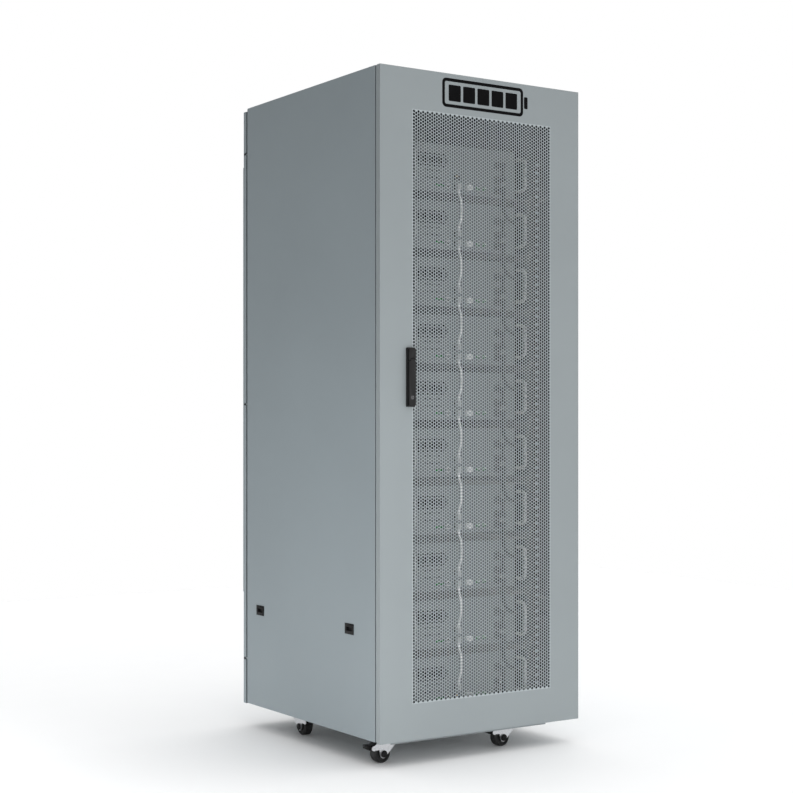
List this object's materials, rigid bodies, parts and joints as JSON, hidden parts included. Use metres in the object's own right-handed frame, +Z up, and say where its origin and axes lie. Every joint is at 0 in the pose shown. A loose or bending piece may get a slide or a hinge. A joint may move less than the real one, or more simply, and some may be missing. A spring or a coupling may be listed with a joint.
{
  "type": "battery rack cabinet",
  "caption": "Upright steel cabinet on braked casters with a perforated hinged front door, a stack of rack battery modules, patch leads, power leads and lift-off sides.",
  "frame": {"origin": "on the floor under the caster wheels, at the middle of the outline", "axes": "+Z up, -Y towards the front door, +X to the right seen from the front"},
  "size_m": [0.6026, 0.69, 1.65],
  "materials": {
    "shell_paint": "fine textured powder coat, light grey",
    "frame_paint": "satin powder coat, grey",
    "mesh_paint": "perforated sheet with powder coat, light grey",
    "module_paint": "satin paint, light grey",
    "zinc": "zinc plated, satin",
    "black_plastic": "fine grained black",
    "white_plastic": "smooth white",
    "terminal_plastic": "satin black",
    "lead_rubber": "satin black jacket",
    "tread": "hard black tread",
    "cell_wrap": "blue film"
  },
  "bodies": {
    "cabinet": {"base_pan": "frame_paint", "cabinet_frame": "frame_paint", "roof_cover": "shell_paint", "rack_rails": "zinc", "shelf_brackets": "zinc", "cable_trunk": "black_plastic", "module_faceplates": "module_paint", "module_handles": "module_paint", "module_ports": "black_plastic", "module_terminals": "terminal_plastic", "module_cells": "cell_wrap", "patch_cables": "white_plastic", "power_cables": "lead_rubber", "caster_plates": "zinc", "battery_module_01": "module_paint", "battery_module_02": "module_paint", "battery_module_03": "module_paint", "battery_module_04": "module_paint", "battery_module_05": "module_paint", "battery_module_06": "module_paint", "battery_module_07": "module_paint", "battery_module_08": "module_paint", "battery_module_09": "module_paint", "battery_module_10": "module_paint"},
    "front_door": {"front_door": "shell_paint", "front_door_mesh": "mesh_paint", "handle_base": "black_plastic"},
    "handle_hub": {"handle_hub": "black_plastic"},
    "handle_lever": {"handle_lever": "black_plastic"},
    "key_plug": {"key_plug": "zinc"},
    "rear_door": {"rear_door": "shell_paint"},
    "rear_lock": {"rear_lock": "zinc"},
    "side_panel_left": {"side_panel_left": "shell_paint"},
    "side_panel_right": {"side_panel_right": "shell_paint"},
    "side_latch_left_front": {"side_latch_left_front": "black_plastic"},
    "side_latch_left_rear": {"side_latch_left_rear": "black_plastic"},
    "side_latch_right_front": {"side_latch_right_front": "black_plastic"},
    "side_latch_right_rear": {"side_latch_right_rear": "black_plastic"},
    "caster_fork_fl": {"caster_fork_fl": "zinc"},
    "caster_wheel_fl": {"caster_wheel_fl": "tread"},
    "brake_pedal_fl": {"brake_pedal_fl": "black_plastic"},
    "caster_fork_fr": {"caster_fork_fr": "zinc"},
    "caster_wheel_fr": {"caster_wheel_fr": "tread"},
    "brake_pedal_fr": {"brake_pedal_fr": "black_plastic"},
    "caster_fork_rl": {"caster_fork_rl": "zinc"},
    "caster_wheel_rl": {"caster_wheel_rl": "tread"},
    "brake_pedal_rl": {"brake_pedal_rl": "black_plastic"},
    "caster_fork_rr": {"caster_fork_rr": "zinc"},
    "caster_wheel_rr": {"caster_wheel_rr": "tread"},
    "brake_pedal_rr": {"brake_pedal_rr": "black_plastic"},
    "module_button_01": {"module_button_01": "black_plastic"},
    "module_button_02": {"module_button_02": "black_plastic"},
    "module_button_03": {"module_button_03": "black_plastic"},
    "module_button_04": {"module_button_04": "black_plastic"},
    "module_button_05": {"module_button_05": "black_plastic"},
    "module_button_06": {"module_button_06": "black_plastic"},
    "module_button_07": {"module_button_07": "black_plastic"},
    "module_button_08": {"module_button_08": "black_plastic"},
    "module_button_09": {"module_button_09": "black_plastic"},
    "module_button_10": {"module_button_10": "black_plastic"}
  },
  "joints": [
    {"name": "front_door_hinge", "type": "hinge", "parent": "cabinet", "child": "front_door", "pos_m": [0.294, -0.328, 0.86], "axis": [0, 0, 1], "range_deg": [0, 110]},
    {"name": "handle_turn", "type": "hinge", "parent": "front_door", "child": "handle_hub", "pos_m": [-0.2155, -0.337, 0.974], "axis": [0, -1, 0], "range_deg": [0, 90]},
    {"name": "handle_lift", "type": "hinge", "parent": "handle_hub", "child": "handle_lever", "pos_m": [-0.2155, -0.34215, 0.961], "axis": [-1, 0, 0], "range_deg": [0, 40]},
    {"name": "key_turn", "type": "hinge", "parent": "handle_lever", "child": "key_plug", "pos_m": [-0.2155, -0.342, 0.871], "axis": [0, -1, 0], "range_deg": [0, 90]},
    {"name": "rear_door_hinge", "type": "hinge", "parent": "cabinet", "child": "rear_door", "pos_m": [-0.294, 0.333, 0.86], "axis": [0, 0, 1], "range_deg": [0, 110]},
    {"name": "rear_lock_turn", "type": "hinge", "parent": "rear_door", "child": "rear_lock", "pos_m": [0.2155, 0.339, 0.974], "axis": [0, 1, 0], "range_deg": [0, 90]},
    {"name": "side_panel_left_lift_off", "type": "slide", "parent": "cabinet", "child": "side_panel_left", "axis": [-1, 0, 0], "range_m": [0, 0.15]},
    {"name": "side_latch_left_front_slide", "type": "slide", "parent": "side_panel_left", "child": "side_latch_left_front", "axis": [0, 0, 1], "range_m": [0, 0.006]},
    {"name": "side_latch_left_rear_slide", "type": "slide", "parent": "side_panel_left", "child": "side_latch_left_rear", "axis": [0, 0, 1], "range_m": [0, 0.006]},
    {"name": "side_panel_right_lift_off", "type": "slide", "parent": "cabinet", "child": "side_panel_right", "axis": [1, 0, 0], "range_m": [0, 0.15]},
    {"name": "side_latch_right_front_slide", "type": "slide", "parent": "side_panel_right", "child": "side_latch_right_front", "axis": [0, 0, 1], "range_m": [0, 0.006]},
    {"name": "side_latch_right_rear_slide", "type": "slide", "parent": "side_panel_right", "child": "side_latch_right_rear", "axis": [0, 0, 1], "range_m": [0, 0.006]},
    {"name": "caster_fl_swivel", "type": "hinge", "parent": "cabinet", "child": "caster_fork_fl", "pos_m": [-0.23, -0.257, 0.052], "axis": [0, 0, 1], "continuous": true},
    {"name": "caster_fl_roll", "type": "hinge", "parent": "caster_fork_fl", "child": "caster_wheel_fl", "pos_m": [-0.25, -0.257, 0.0225], "axis": [0, 1, 0], "continuous": true},
    {"name": "caster_fl_brake", "type": "hinge", "parent": "caster_fork_fl", "child": "brake_pedal_fl", "pos_m": [-0.277, -0.257, 0.038], "axis": [0, 1, 0], "range_deg": [0, 15]},
    {"name": "caster_fr_swivel", "type": "hinge", "parent": "cabinet", "child": "caster_fork_fr", "pos_m": [0.128, -0.257, 0.052], "axis": [0, 0, 1], "continuous": true},
    {"name": "caster_fr_roll", "type": "hinge", "parent": "caster_fork_fr", "child": "caster_wheel_fr", "pos_m": [0.108, -0.257, 0.0225], "axis": [0, 1, 0], "continuous": true},
    {"name": "caster_fr_brake", "type": "hinge", "parent": "caster_fork_fr", "child": "brake_pedal_fr", "pos_m": [0.081, -0.257, 0.038], "axis": [0, 1, 0], "range_deg": [0, 15]},
    {"name": "caster_rl_swivel", "type": "hinge", "parent": "cabinet", "child": "caster_fork_rl", "pos_m": [-0.23, 0.154, 0.052], "axis": [0, 0, 1], "continuous": true},
    {"name": "caster_rl_roll", "type": "hinge", "parent": "caster_fork_rl", "child": "caster_wheel_rl", "pos_m": [-0.23, 0.134, 0.0225], "axis": [-1, 0, 0], "continuous": true},
    {"name": "caster_rl_brake", "type": "hinge", "parent": "caster_fork_rl", "child": "brake_pedal_rl", "pos_m": [-0.23, 0.107, 0.038], "axis": [-1, 0, 0], "range_deg": [0, 15]},
    {"name": "caster_rr_swivel", "type": "hinge", "parent": "cabinet", "child": "caster_fork_rr", "pos_m": [0.128, 0.154, 0.052], "axis": [0, 0, 1], "continuous": true},
    {"name": "caster_rr_roll", "type": "hinge", "parent": "caster_fork_rr", "child": "caster_wheel_rr", "pos_m": [0.128, 0.134, 0.0225], "axis": [-1, 0, 0], "continuous": true},
    {"name": "caster_rr_brake", "type": "hinge", "parent": "caster_fork_rr", "child": "brake_pedal_rr", "pos_m": [0.128, 0.107, 0.038], "axis": [-1, 0, 0], "range_deg": [0, 15]},
    {"name": "module_button_01_push", "type": "slide", "parent": "cabinet", "child": "module_button_01", "axis": [0, 1, 0], "range_m": [0, 0.0015], "stiffness_N_per_m": 300},
    {"name": "module_button_02_push", "type": "slide", "parent": "cabinet", "child": "module_button_02", "axis": [0, 1, 0], "range_m": [0, 0.0015], "stiffness_N_per_m": 300},
    {"name": "module_button_03_push", "type": "slide", "parent": "cabinet", "child": "module_button_03", "axis": [0, 1, 0], "range_m": [0, 0.0015], "stiffness_N_per_m": 300},
    {"name": "module_button_04_push", "type": "slide", "parent": "cabinet", "child": "module_button_04", "axis": [0, 1, 0], "range_m": [0, 0.0015], "stiffness_N_per_m": 300},
    {"name": "module_button_05_push", "type": "slide", "parent": "cabinet", "child": "module_button_05", "axis": [0, 1, 0], "range_m": [0, 0.0015], "stiffness_N_per_m": 300},
    {"name": "module_button_06_push", "type": "slide", "parent": "cabinet", "child": "module_button_06", "axis": [0, 1, 0], "range_m": [0, 0.0015], "stiffness_N_per_m": 300},
    {"name": "module_button_07_push", "type": "slide", "parent": "cabinet", "child": "module_button_07", "axis": [0, 1, 0], "range_m": [0, 0.0015], "stiffness_N_per_m": 300},
    {"name": "module_button_08_push", "type": "slide", "parent": "cabinet", "child": "module_button_08", "axis": [0, 1, 0], "range_m": [0, 0.0015], "stiffness_N_per_m": 300},
    {"name": "module_button_09_push", "type": "slide", "parent": "cabinet", "child": "module_button_09", "axis": [0, 1, 0], "range_m": [0, 0.0015], "stiffness_N_per_m": 300},
    {"name": "module_button_10_push", "type": "slide", "parent": "cabinet", "child": "module_button_10", "axis": [0, 1, 0], "range_m": [0, 0.0015], "stiffness_N_per_m": 300}
  ]
}
